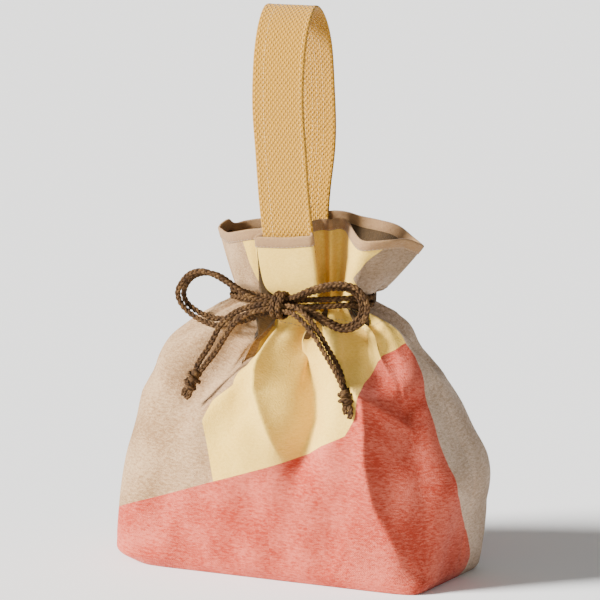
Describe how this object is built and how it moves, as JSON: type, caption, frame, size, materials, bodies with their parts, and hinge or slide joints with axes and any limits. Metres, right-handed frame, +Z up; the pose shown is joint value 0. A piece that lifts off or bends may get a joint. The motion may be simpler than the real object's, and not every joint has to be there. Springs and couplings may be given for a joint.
{
  "type": "drawstring pouch",
  "caption": "Soft kinchaku pouch with a flat boxed base, a frilled mouth gathered by doubled cords tied in a bow, and a webbing carrying handle.",
  "frame": {"origin": "centre of the flat base, at the surface that it stands on", "axes": "+Z up, front with the bow towards -Y, +X to the right seen from the front"},
  "size_m": [0.2602, 0.1258, 0.3922],
  "materials": {
    "printed_cotton": "woven cotton with a mottled print in coral, cream and taupe fields",
    "lining_cotton": "plain woven brown-beige cotton",
    "binding": "plain woven mauve-taupe cotton",
    "webbing": "thick tan cotton webbing with sewn rows",
    "cord": "dark brown braided cord, slightly waxed"
  },
  "bodies": {
    "root": {"outer_cloth": "printed_cotton", "lining": "lining_cotton", "rim_binding": "binding", "handle_webbing": "webbing", "bow_knot": "cord", "stop_knot_left": "cord", "stop_knot_right": "cord", "right_cord_front_standing": "cord", "right_cord_front_loop": "cord", "right_cord_front_tail": "cord", "right_cord_back_standing": "cord", "right_cord_back_loop": "cord", "right_cord_back_tail": "cord", "left_cord_front_standing": "cord", "left_cord_front_loop": "cord", "left_cord_front_tail": "cord", "left_cord_back_standing": "cord", "left_cord_back_loop": "cord", "left_cord_back_tail": "cord"}
  },
  "joints": []
}
